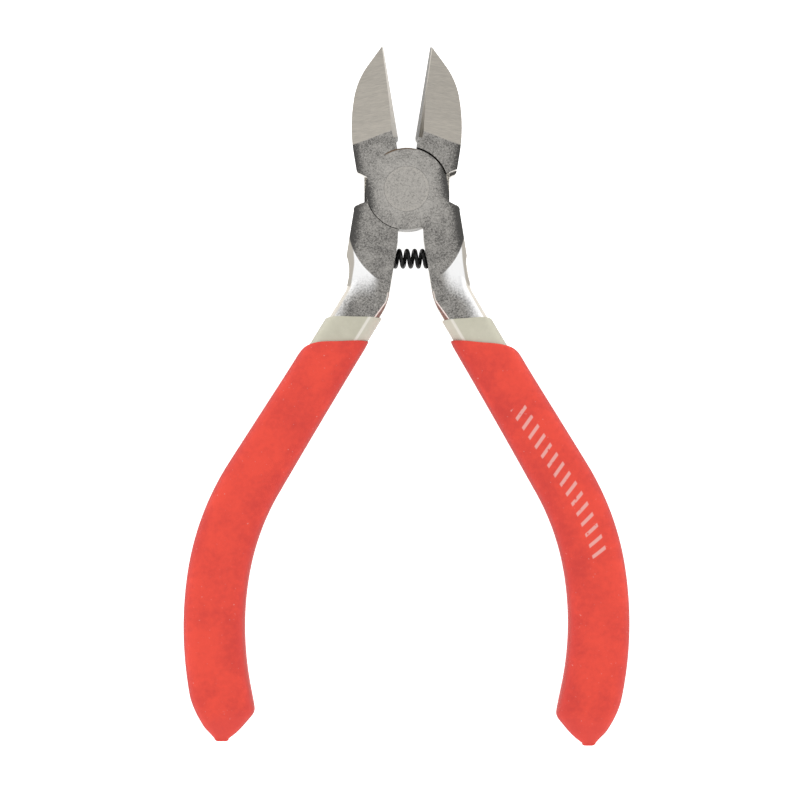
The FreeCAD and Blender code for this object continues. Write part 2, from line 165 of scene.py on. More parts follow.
class Graph:
    """Node tree of one material, built from expressions."""

    def __init__(self, name: str) -> None:
        """Start a material with an empty node tree."""
        self.material = bpy.data.materials.new(name)
        self.material.use_nodes = True
        self.tree = self.material.node_tree
        self.tree.nodes.clear()

    def node(self, kind: str, settings: dict | None = None, values: dict | None = None,
             outlet: int | str = 0) -> Value:
        """Add one node of any type.

        Args:
            kind: Blender's name of the node type.
            settings: Attributes of the node, set before its sockets.
            values: Numbers, tuples or Values for its input sockets, by name or index.
            outlet: Output socket that stands for the node.

        Returns:
            The chosen output, ready for expressions.
        """
        made = self.tree.nodes.new(kind)
        for name, setting in (settings or {}).items():
            setattr(made, name, setting)
        for name, value in (values or {}).items():
            if isinstance(value, Value):
                self.tree.links.new(value.socket, made.inputs[name])
            else:
                made.inputs[name].default_value = value
        return Value(self, made.outputs[outlet])

    def maths(self, operation: str, *terms: Value | float) -> Value:
        """Math node on one to three terms."""
        return self.node("ShaderNodeMath", {"operation": operation}, dict(enumerate(terms)))

    def mix(self, share: Value | float, first: Value | Colour, second: Value | Colour) -> Value:
        """Blend of two colours.

        Args:
            share: 0 for the first colour, 1 for the second.
            first: Colour shown where the share is 0.
            second: Colour shown where the share is 1.

        Returns:
            The blended colour.
        """
        values = {"Factor": share}
        for name, colour in (("A", first), ("B", second)):
            values[6 if name == "A" else 7] = colour if isinstance(colour, Value) else (*colour, 1.0)
        return self.node("ShaderNodeMix", {"data_type": "RGBA"}, values, 2)

    def place(self, scale: tuple[float, float, float] = (1000.0, 1000.0, 1000.0), turn: float = 0.0,
              shift: tuple[float, float, float] = (0.0, 0.0, 0.0)) -> Value:
        """Object coordinates in millimetres, scaled, then turned about Z, then shifted.

        Args:
            scale: Stretch of each axis, which may also mirror it.
            turn: Angle about Z, in radians.
            shift: Shift after the turn, in millimetres.

        Returns:
            The coordinates as a vector.
        """
        source = self.node("ShaderNodeTexCoord", outlet="Object")
        values = {"Vector": source, "Scale": scale, "Rotation": (0.0, 0.0, turn), "Location": shift}
        return self.node("ShaderNodeMapping", {"vector_type": "POINT"}, values)

    def parts(self, vector: Value) -> list[Value]:
        """X, Y and Z of a vector."""
        split = self.tree.nodes.new("ShaderNodeSeparateXYZ")
        self.tree.links.new(vector.socket, split.inputs[0])
        return [Value(self, socket) for socket in split.outputs]

    def stretched(self, vector: Value, scale: tuple[float, float, float]) -> Value:
        """Vector with each axis multiplied by its own scale."""
        return self.node("ShaderNodeMapping", {"vector_type": "POINT"}, {"Vector": vector, "Scale": scale})

    def noise(self, vector: Value, scale: float, detail: float = 2.0, roughness: float = 0.5) -> Value:
        """Soft noise between about 0.2 and 0.8.

        Args:
            vector: Coordinates that the noise is laid on.
            scale: Lumps per unit of the coordinates.
            detail: Octaves of finer noise.
            roughness: Strength of the finer octaves.

        Returns:
            The noise as a value.
        """
        values = {"Vector": vector, "Scale": scale, "Detail": detail, "Roughness": roughness}
        return self.node("ShaderNodeTexNoise", values=values)

    def bump(self, height: Value, depth: float) -> Value:
        """Normal of a surface with small relief.

        Args:
            height: Relief from 0 to 1.
            depth: Height of the relief at 1, in metres.

        Returns:
            The tilted normal.
        """
        return self.node("ShaderNodeBump", values={"Height": height, "Distance": depth, "Strength": 1.0})

    def finish(self, **sockets: Value | float | tuple) -> bpy.types.Material:
        """Close the tree with a Principled shader.

        Args:
            sockets: Values of its sockets, with underscores for the spaces in their names.

        Returns:
            The finished material.
        """
        values = {name.replace("_", " "): value for name, value in sockets.items()}
        shader = self.node("ShaderNodeBsdfPrincipled", values=values)
        self.node_output(shader)
        return self.material

    def node_output(self, shader: Value) -> None:
        """Link a shader to the material's surface."""
        output = self.tree.nodes.new("ShaderNodeOutputMaterial")
        self.tree.links.new(shader.socket, output.inputs["Surface"])


def grey(level: float, warmth: float = 0.0) -> Colour:
    """Grey of a linear level, pulled towards warm brown by a small share."""
    return (level * (1 + warmth), level, level * (1 - 1.6 * warmth))


# ---------------------------------------------------------------- finishes


@dataclass(frozen=True)
class Spot:
    """Coordinates and noises that every part of the forged finish shares, in a closed lever's own frame."""

    graph: Graph
    x: Value
    y: Value
    z: Value
    rise: Value
    level: Value
    from_pivot: Value
    lumps: Value
    pits: Value
    patches: Value
    lines: Value
    streaks: Value


@dataclass(frozen=True)
class ForgedSteel:
    """Tumbled forging with ground blades and polished flanks that carry a painted highlight, laid out in a
    closed lever's own frame.
    """

    name: str
    inner_face: float
    tang_width: float
    patch_across: float
    patch_narrowness: float
    flipped: bool = False
    half_thickness: float = 4.0
    tang_face: float = 3.1
    blade_heel: float = 8.5
    boss_foot: float = 7.0
    bend_drop: float = 17.3
    lean_slope: float = 0.36
    patch_drop: float = 20.6
    rim_at_boss: float = 7.35
    rim_width: float = 0.75
    relief_depth: float = 0.00010

    def spot(self, g: Graph) -> Spot:
        """Coordinates and noises of the finish.

        Args:
            g: Graph of the material.

        Returns:
            The values that the parts of the finish share.
        """
        sign = -1.0 if self.flipped else 1.0
        scale = (sign / MM, 1 / MM, sign / MM)
        place = g.place(scale, -HALF_OPENING, (0.0, 0.0, -sign * MIDDLE_HEIGHT))
        x, y, z = g.parts(place)
        normal = g.node("ShaderNodeTexCoord", outlet="Normal")
        return Spot(
            graph=g, x=x, y=y, z=z,
            rise=g.parts(normal)[2].size(),
            level=self.half_thickness - z.size(),
            from_pivot=x * x + y * y,
            lumps=g.noise(place, 3.2, 4.0, 0.75),
            pits=g.noise(place, 7.0, 2.0, 0.6),
            patches=g.noise(place, 0.55, 2.0, 0.5),
            lines=g.noise(g.stretched(place, (0.5, 9.0, 1.0)), 1.6, 3.0, 0.6),
            streaks=g.noise(g.stretched(place, (0.12, 1.6, 1.0)), 1.0, 2.0, 0.5))

    def tumbled(self, at: Spot) -> Value:
        """Grainy face: small lumps whose dark share grows towards the outer corners.

        Args:
            at: Shared coordinates and noises.

        Returns:
            The colour of the face.
        """
        g = at.graph
        waist = 1 - at.y.size().step(1.5, 4.5)
        reach = at.x.size() + waist * 1.2 + (at.patches - 0.5) * 1.2
        side = reach.step(5.2, 8.3) * at.y.step(-14.5, -11.0)
        centre = at.from_pivot.step(38.0, 2.0)
        outside = at.from_pivot.step(36.0, 52.0)
        shade = side * side * 0.30 - centre * 0.065 + outside * 0.03 + at.y.step(-5.0, -9.0) * 0.02
        grain = (at.lumps * 0.6 + at.pits * 0.4 + (at.patches - 0.5) * 0.20 - shade).step(0.28, 0.63)
        face = g.mix(grain, grey(0.085, 0.03), grey(0.47, 0.04))
        waist_edge = waist * at.x.size().step(6.72, 6.82) * at.lumps.step(0.42, 0.55)
        face = g.mix(waist_edge, face, grey(0.50, 0.07))
        rim_line = at.from_pivot.step(41.5, 43.0) * at.from_pivot.step(45.8, 45.2) * at.y.step(5.9, 6.3)
        return g.mix(rim_line, face, (0.16, 0.115, 0.08))

    def ground(self, at: Spot) -> tuple[Value, Value]:
        """Ground blade: fine lines across it, over an even satin tone.

        Args:
            at: Shared coordinates and noises.

        Returns:
            The colour of the ground face, and the share of it at each point.
        """
        share = (at.lines * 0.8 + at.streaks * 0.2).step(0.3, 0.7)
        tone = at.graph.mix(share, grey(0.34, 0.065), grey(0.46, 0.075))
        depth = at.level + (at.lumps - 0.5) * 0.07
        return tone, depth.step(0.015, 0.075) * at.y.step(self.blade_heel - 0.3, self.blade_heel + 0.3)

    def bevelled(self, at: Spot) -> tuple[Value, Value]:
        """Cutting bevels: a light strip, and painted shade that darkens the bevel where its slope is high.

        Args:
            at: Shared coordinates and noises.

        Returns:
            The colour of the bevels, and the share of them at each point.
        """
        g = at.graph
        # painted shade: where the bevel's slope is high its colour is darkened
        steep_bevel_shade = g.mix(at.rise.step(0.25, 0.4), grey(0.10, 0.05), grey(0.36, 0.07))
        strip = g.mix(at.z.step(-0.5, 0.5), steep_bevel_shade, grey(0.36, 0.08))
        past_heel = at.y.step(self.blade_heel - 0.3, self.blade_heel)
        return strip, at.rise.step(0.8, 0.6) * past_heel * at.x.step(-2.4, -1.9)

    def flank(self, at: Spot, face: Value) -> tuple[Value, Value, Value]:
        """Slope and neck below the boss: polished outside with a painted near-white highlight, grainy in
        the middle, with a warm outer rim.

        Args:
            at: Shared coordinates and noises.
            face: Colour of the grainy face.

        Returns:
            The colour of the flank, the share of flank at each point, and the share of polish and painted
            highlight.
        """
        g = at.graph
        across = at.x - self.inner_face
        run_out = (-self.bend_drop - at.y).at_least(0.0) * self.lean_slope
        aside = (across - run_out - self.patch_across) * self.patch_narrowness
        from_patch = (aside * aside + (at.y + self.patch_drop) ** 2.0 * 0.55) ** 0.5
        bare = at.level.step(0.02, 0.12) * at.y.step(0.5 - self.boss_foot, -0.5 - self.boss_foot)
        # painted highlight: outside its grainy patch the polished flank is painted near white; the same
        # share also lowers roughness
        polish_and_highlight = (from_patch + (at.lumps - 0.5) * 2.6).step(1.2, 4.6) * across.step(1.6, 3.6)
        scoop = g.mix(polish_and_highlight, face, grey(0.98, 0.0))
        rim_below = self.inner_face + self.tang_width - self.rim_width
        rim_at = at.y.step(-9.0, -14.0) * (rim_below - self.rim_at_boss) + self.rim_at_boss + run_out
        rim = (at.x - rim_at).step(0.0, 0.22) * at.y.step(-6.5, -8.5)
        return g.mix(rim, scoop, grey(0.47, 0.07)), bare, polish_and_highlight

    def walls(self, at: Spot, colour: Value, wall: Value) -> Value:
        """Polished side walls in warm light with painted shade on the walls between the blades below the
        heel, and the brown facet along the neck's inner edge with a painted highlight line along its upper
        edge.

        Args:
            at: Shared coordinates and noises.
            colour: Colour of the faces between the walls.
            wall: Share of wall at each point.

        Returns:
            The colour of faces, walls and facet together.
        """
        g = at.graph
        low = at.y.step(-6.0, -8.0)
        # painted shade: the walls of the recess between the blades are darkened
        notch_shade = at.x.size().step(3.6, 2.8) * at.y.size().step(5.0, 6.0) * (1 - low)
        high_tone = g.mix(notch_shade, grey(0.55, 0.05), grey(0.10, 0.04))
        tone = g.mix(low, high_tone, grey(0.46, 0.07))
        colour = g.mix(wall, colour, g.mix(at.lumps.step(0.3, 0.7) * 0.25, tone, grey(0.3, 0.05)))
        tilted = at.rise.step(0.5, 0.62) * at.rise.step(0.85, 0.78)
        facet = tilted * (at.x - self.inner_face).step(2.6, 1.6) * at.y.step(-14.5, -15.5)
        brown = g.mix(at.lines.step(0.35, 0.6), (0.17, 0.105, 0.09), (0.33, 0.235, 0.205))
        # painted highlight: a pale line along the upper edge of the facet
        ridge_highlight = at.z.size().step(self.tang_face - 0.26, self.tang_face - 0.14)
        return g.mix(facet, colour, g.mix(ridge_highlight, brown, grey(0.85, 0.03)))

    def build(self) -> bpy.types.Material:
        """Make the material.

        Returns:
            The procedural steel.
        """
        g = Graph(self.name)
        at = self.spot(g)
        face = self.tumbled(at)
        ground_tone, edge = self.ground(at)
        colour = g.mix(edge, face, ground_tone)
        strip, bevel = self.bevelled(at)
        colour = g.mix(bevel, colour, strip)
        flank, bare, polish_and_highlight = self.flank(at, face)
        colour = g.mix(bare, colour, flank)
        wall = at.rise.step(0.8, 0.55) * (1 - bevel)
        colour = self.walls(at, colour, wall)
        polished = (bare * polish_and_highlight).at_least(wall)
        rough = 0.50 + (at.lumps - 0.5) * 0.25
        rough = rough - edge * 0.12 - polished * 0.16
        relief = (at.lumps * 0.7 + at.pits * 0.3) * (1 - edge) * (1 - polished * 0.85)
        relief = relief + at.lines * edge * 0.22
        return g.finish(Base_Color=colour, Metallic=1.0, Roughness=rough.at_least(0.2),
                        Normal=g.bump(relief, self.relief_depth))


@dataclass(frozen=True)
class RivetSteel:
    """Rivet head ground flush with the joint, with a lighter ring pressed near its edge."""

    name: str = "Flush_rivet_steel"
    head_radius: float = 3.7
    relief_depth: float = 0.00008

    def build(self) -> bpy.types.Material:
        """Make the material.

        Returns:
            The procedural steel.
        """
        g = Graph(self.name)
        place = g.place()
        x, y, _ = g.parts(place)
        radius = (x ** 2.0 + y ** 2.0) ** 0.5
        lumps = g.noise(place, 3.2, 4.0, 0.75)
        pits = g.noise(place, 7.0, 2.0, 0.6)
        tone = (lumps * 0.6 + pits * 0.4 + 0.055).step(0.28, 0.63)
        face = g.mix(tone, grey(0.085, 0.03), grey(0.47, 0.045))
        wobble = radius + (lumps - 0.5) * 0.5
        ring = wobble.step(self.head_radius - 0.55, self.head_radius - 0.3)
        ring = ring * wobble.step(self.head_radius + 0.05, self.head_radius - 0.2)
        colour = g.mix(ring * 0.22, face, grey(0.55, 0.06))
        return g.finish(Base_Color=colour, Metallic=1.0, Roughness=0.46 + (lumps - 0.5) * 0.2,
                        Normal=g.bump(lumps * 0.7 + pits * 0.3, self.relief_depth))


@dataclass(frozen=True)
class SpringSteel:
    """Blackened spring wire, lighter in soft patches laid by a noise."""

    name: str = "Blackened_spring_wire"
    relief_depth: float = 0.00003

    def build(self) -> bpy.types.Material:
        """Make the material.

        Returns:
            The procedural wire finish.
        """
        g = Graph(self.name)
        place = g.place()
        scale = g.noise(place, 6.0, 3.0, 0.6)
        rubbed = g.noise(place, 2.2, 2.0, 0.5)
        colour = g.mix(rubbed.step(0.5, 0.75), (0.010, 0.010, 0.011), (0.06, 0.058, 0.056))
        return g.finish(Base_Color=colour, Metallic=0.6, Roughness=0.42 + (scale - 0.5) * 0.3,
                        Normal=g.bump(scale, self.relief_depth))


@dataclass(frozen=True)
class DippedVinyl:
    """Matte dipped vinyl, mottled in tone, with a fine skin of small dimples."""

    name: str
    colour: Colour
    deep: Colour
    pale: Colour
    roughness: float
    dimple: float
    marked: bool = False
    ridge_highlighted: bool = False
    ridge_across: float = 2.15
    bar_pitch: float = 1.9
    bar_width: float = 0.6
    bar_reach: float = 1.25
    bar_slant: float = 0.45
    row_start: float = 12.0
    row_end: float = 40.3
    row_offset: float = -0.9
    row_slope: float = 0.057
    soft_edge: float = 0.1
    soft_end: float = 0.12

    def build(self) -> bpy.types.Material:
        """Make the material.

        Returns:
            The procedural vinyl.
        """
        g = Graph(self.name)
        place = g.place()
        clouds = g.noise(place, 0.16, 3.0, 0.55)
        mottle = g.noise(place, 1.1, 4.0, 0.62)
        skin = g.noise(place, 4.5, 3.0, 0.6)
        across = g.node("ShaderNodeAttribute", {"attribute_name": "across"}, outlet="Fac")
        # Tone is darker towards the inner side, and the next line paints shade along the rounded side
        # edges.
        tone = clouds * 0.5 + mottle * 0.3 + across.step(-4.4, 1.0) * 0.12
        tone = tone - across.size().step(3.4, 5.3) * 0.16
        colour = g.mix(tone.step(0.30, 0.62), self.deep, self.colour)
        specks = g.noise(place, 2.4, 1.0, 0.4).step(0.72, 0.82)
        colour = g.mix(specks * 0.3, colour, self.pale)
        # painted shade on the last few millimetres of the tapered tip
        left = g.node("ShaderNodeAttribute", {"attribute_name": "left"}, outlet="Fac")
        colour = g.mix(left.step(5.5, 2.5) * 0.6, colour, self.deep)
        # painted shade: surfaces that turn away from the front are darkened by their slope
        facing = g.parts(g.node("ShaderNodeTexCoord", outlet="Normal"))[2].size()
        colour = g.mix(facing.step(0.75, 0.1) * 0.75, colour, tuple(0.55 * part for part in self.deep))
        rough = self.roughness + (skin - 0.5) * 0.16
        if self.ridge_highlighted:
            # painted highlight: a pale line along the crease at the edge of the sleeve's flat, and lighter
            # colour over the flat inside it
            ridge_highlight = (across + self.ridge_across).size().step(0.34, 0.08)
            inner = across.step(-self.ridge_across, -self.ridge_across - 0.3)
            colour = g.mix(ridge_highlight * 0.75 + inner * 0.25, colour, self.pale)
        if self.marked:
            ink = self.bars(g, mottle)
            colour = g.mix(ink * 0.75, colour, self.pale)
        relief = skin * 0.7 + mottle * 0.3
        return g.finish(Base_Color=colour, Roughness=rough, Specular_IOR_Level=0.22, IOR=1.46,
                        Normal=g.bump(relief, self.dimple))

    def bars(self, g: Graph, worn: Value) -> Value:
        """Row of plain slanted bars printed along the front of the grip.

        Args:
            g: Graph of the material.
            worn: Noise that rubs gaps into the print.

        Returns:
            Share of ink, from 0 to 1.
        """
        along = g.node("ShaderNodeAttribute", {"attribute_name": "along"}, outlet="Fac")
        across = g.node("ShaderNodeAttribute", {"attribute_name": "across"}, outlet="Fac")
        front = g.node("ShaderNodeAttribute", {"attribute_name": "front"}, outlet="Fac")
        turn = g.maths("PINGPONG", along + across * self.bar_slant, self.bar_pitch / 2)
        bar = turn.step(self.bar_width / 2 + self.soft_edge, self.bar_width / 2 - self.soft_edge)
        aside = (across - self.row_offset - along * self.row_slope).size()
        band = aside.step(self.bar_reach + self.soft_end, self.bar_reach - self.soft_end)
        start = along.step(self.row_start, self.row_start + 3 * self.soft_edge)
        end = along.step(self.row_end, self.row_end - 3 * self.soft_edge)
        return bar * band * start * end * front * worn.step(0.30, 0.42)


# ---------------------------------------------------------------- meshes


def make_mesh(name: str, rows: Array, values: dict[str, Array], inward: bool) -> bpy.types.Object:
    """Object from a closed surface: a grid of rows that go round, with its ends drawn to points.

    Args:
        name: Name of the piece.
        rows: Points in millimetres, indexed by row, by place round the row, and by axis.
        values: Numbers for each point, which become attributes of those names.
        inward: Whether the walk round a row leaves the faces inside out.

    Returns:
        The object, at the origin, in metres.
    """
    row_count, round_count, _ = rows.shape
    near = np.arange(round_count)
    far = (near + 1) % round_count
    base = (np.arange(row_count - 1) * round_count)[:, None]
    corners = [base + near, base + far, base + round_count + far, base + round_count + near]
    faces = np.stack(corners[::-1] if inward else corners, axis=-1).reshape(-1, 4)
    mesh = bpy.data.meshes.new(name)
    mesh.from_pydata((rows.reshape(-1, 3) * MM).tolist(), [], faces.tolist())
    for label, numbers in values.items():
        attribute = mesh.attributes.new(label, "FLOAT", "POINT")
        attribute.data.foreach_set("value", np.ascontiguousarray(numbers, np.float32).ravel())
    work = bmesh.new()
    work.from_mesh(mesh)
    bmesh.ops.remove_doubles(work, verts=work.verts, dist=1e-7)
    work.to_mesh(mesh)
    work.free()
    mesh.polygons.foreach_set("use_smooth", np.ones(len(mesh.polygons), bool))
    piece = bpy.data.objects.new(name, mesh)
    bpy.context.scene.collection.objects.link(piece)
    return piece


def smooth_least(first: Array, second: Array, softness: float) -> Array:
    """Lesser of two arrays with a rounded corner: minus the soft logarithm of the sum of exponentials."""
    return -softness * np.logaddexp(-first / softness, -second / softness)


def ease(share: Array) -> Array:
    """Smooth rise from 0 to 1: three squares less two cubes of the clipped share."""
    clipped = np.clip(share, 0.0, 1.0)
    return clipped * clipped * (3 - 2 * clipped)


@dataclass
class HandleLine:
    """Centre line of one handle at rest, from the bend below the boss to the tip of the tail."""

    side: Side
    inner_face: float
    tang_width: float
    lean: float
    bend_y: float = 17.3
    bend_radius: float = 5.5
    straight: float = 34.1
    palm_radius: float = 43.0
    tail_radius: float = 55.0
    tail_turn: float = 21.0
    sleeve_turn: float = 12.0
    tail_end_turn: float = 21.0
    tip_length: float = 7.15

    def __post_init__(self) -> None:
        """Lay out the headings and walk the line once."""
        lean = math.radians(self.lean)
        tail = math.radians(self.tail_turn)
        covered = math.radians(self.sleeve_turn)
        steps = [0.0, self.bend_radius * lean, self.straight, self.palm_radius * lean,
                 self.tail_radius * covered, self.tail_radius * (tail - covered), self.tip_length]
        self.knots = np.cumsum(steps)
        tail_end = -math.radians(self.tail_end_turn)
        turns = [0.0, lean, lean, 0.0, -covered, tail_end, tail_end]
        self.headings = np.array(turns) + HALF_OPENING
        self.walk = np.linspace(-6.0, self.knots[-1] + 3.0, 4000)
        heading = np.interp(self.walk, self.knots, self.headings)
        stride = self.walk[1] - self.walk[0]
        middle_x, middle_y = self.inner_face + self.tang_width / 2, -self.bend_y
        start_x = middle_x * math.cos(HALF_OPENING) - middle_y * math.sin(HALF_OPENING)
        start_y = middle_x * math.sin(HALF_OPENING) + middle_y * math.cos(HALF_OPENING)
        self.walk_x = np.cumsum(np.sin(heading)) * stride
        self.walk_y = -np.cumsum(np.cos(heading)) * stride
        self.walk_x += start_x - np.interp(0.0, self.walk, self.walk_x)
        self.walk_y += start_y - np.interp(0.0, self.walk, self.walk_y)

    @property
    def length(self) -> float:
        """Length of the line from the bend to the tip."""
        return float(self.knots[-1])

    @property
    def slope(self) -> float:
        """Sideways run of the straight for each unit of fall."""
        return math.tan(math.radians(self.lean) + HALF_OPENING)

    def station_at(self, turn: float) -> float:
        """Place along the line where the tail has turned by an angle in degrees."""
        return float(self.knots[3] + self.tail_radius * math.radians(turn))

    def station_below(self, drop: float) -> float:
        """Place along the straight that lies a drop below the pivot when the tool is closed."""
        lean = math.radians(self.lean)
        bend_drop = self.bend_y + self.bend_radius * math.sin(lean)
        return float(self.knots[1] + (drop - bend_drop) / math.cos(lean))

    def carry(self, along: Array, across: Array, height: Array) -> Array:
        """Points beside the line: the line's point, plus across times its normal, at a height.

        Args:
            along: Place along the line of each point.
            across: Distance out from the line, away from the other handle.
            height: Height above the middle plane.

        Returns:
            The points at rest, with X mirrored on the left side.
        """
        heading = np.interp(along, self.knots, self.headings)
        x = np.interp(along, self.walk, self.walk_x) + across * np.cos(heading)
        y = np.interp(along, self.walk, self.walk_y) + across * np.sin(heading)
        return np.stack([x * self.side.value, y, height + MIDDLE_HEIGHT], axis=-1)


@dataclass
class Section:
    """Cross-section of a tang or coat: a rounded box, with flats across its inner and outer edges."""

    half_width: Array | float
    half_height: Array | float
    inner_edge: float = 0.0
    outer_edge: float = 0.0
    sharpness: float = 14.0

    def reach(self, angle: Array) -> Array:
        """Distance from the middle to the surface.

        Each flat says how far the middle may reach in a direction, and the power mean of those limits
        rounds the corners between them: r = (sum of limits ** -n) ** (-1 / n).

        Args:
            angle: Directions round the section, with 0 pointing away from the other handle.

        Returns:
            The distance for each direction.
        """
        across, up = np.cos(angle), np.sin(angle)
        limits = np.abs(across / self.half_width) ** self.sharpness
        limits = limits + np.abs(up / self.half_height) ** self.sharpness
        diagonal = np.abs(across) + np.abs(up)
        for edge, facing in ((self.outer_edge, across > 0), (self.inner_edge, across <= 0)):
            if edge > 0:
                cut = (diagonal / (self.half_width + self.half_height - edge)) ** self.sharpness
                limits = limits + np.where(facing, cut, 0.0)
        return limits ** (-1 / self.sharpness)


@dataclass
class DippedCoat:
    """Coat dipped over a handle: a closed shell with a rolled lip above and a closed end below."""

    line: HandleLine
    lip: float
    lip_round: float
    inner_end: float
    outer_end: float
    wave: float
    sag: float
    lean: float

    def rows(self, inside: Section, outside_reach: Array, angle: Array, outer_rows: Array) -> tuple:
        """Distances and places of every point of the shell.

        Walked from the closed end inside, up the inner wall, over the lip in a half circle, and down the
        outer wall to the closed end outside.

        Args:
            inside: Section of the inner wall.
            outside_reach: Distance of the outer wall for each outer row and direction.
            angle: Directions round the section.
            outer_rows: Place along the line of each outer row, from the lip down.

        Returns:
            Place along the line and distance from it, for each row and direction.
        """
        inner_reach = inside.reach(angle)[None, :]
        inner_rows = np.linspace(self.inner_end, self.lip + self.lip_round, 60)[:, None]
        roll = np.linspace(0.0, math.pi, 14)[1:-1][:, None]
        roll_rows = self.lip + self.lip_round * (1 - np.sin(roll))
        share = (1 - np.cos(roll)) / 2
        roll_reach = (1 - share) * inner_reach + share * outside_reach[:1]
        along = np.concatenate([inner_rows[:1], inner_rows, roll_rows, outer_rows[:, None]])
        reach = np.concatenate([0 * inner_reach, np.repeat(inner_reach, len(inner_rows), 0), roll_reach,
                                outside_reach])
        along = np.repeat(along, len(angle), axis=1)
        tilt = (self.line.slope + self.lean) * (1 - ease((along - self.lip - 3.0) / 14.0))
        ripple = self.wave * np.sin(2 * angle + 0.7) + 0.4 * self.wave * np.sin(5 * angle)
        ripple = ripple + self.sag * np.clip(np.cos(angle), 0.0, 1.0) ** 5
        near_lip = 1 - ease((along - self.lip) / 7.0)
        return along + tilt * reach * np.cos(angle) + near_lip * ripple, reach

    def build(self, name: str, inside: Section, outside_reach: Array, outer_rows: Array,
              angle: Array, shift: Array) -> bpy.types.Object:
        """Mesh of the coat.

        Args:
            name: Name of the piece.
            inside: Section of the inner wall.
            outside_reach: Distance of the outer wall for each outer row and direction.
            outer_rows: Place along the line of each outer row.
            angle: Directions round the section.
            shift: Distance that each outer row lies outside the centre line.

        Returns:
            The coat as an object.
        """
        along, reach = self.rows(inside, outside_reach, angle, outer_rows)
        across, height = reach * np.cos(angle), reach * np.sin(angle)
        across[-len(shift):] += shift[:, None]
        near_tip = ease(1 - (self.line.length - along) / 3.0)
        along = along + near_tip * math.tan(self.line.headings[-1]) * across
        points = self.line.carry(along, across, height)
        values = {"along": along - self.lip, "across": across, "front": (height > 0).astype(float),
                  "left": self.line.length - along}
        return make_mesh(name, points, values, self.line.side is Side.LEFT)


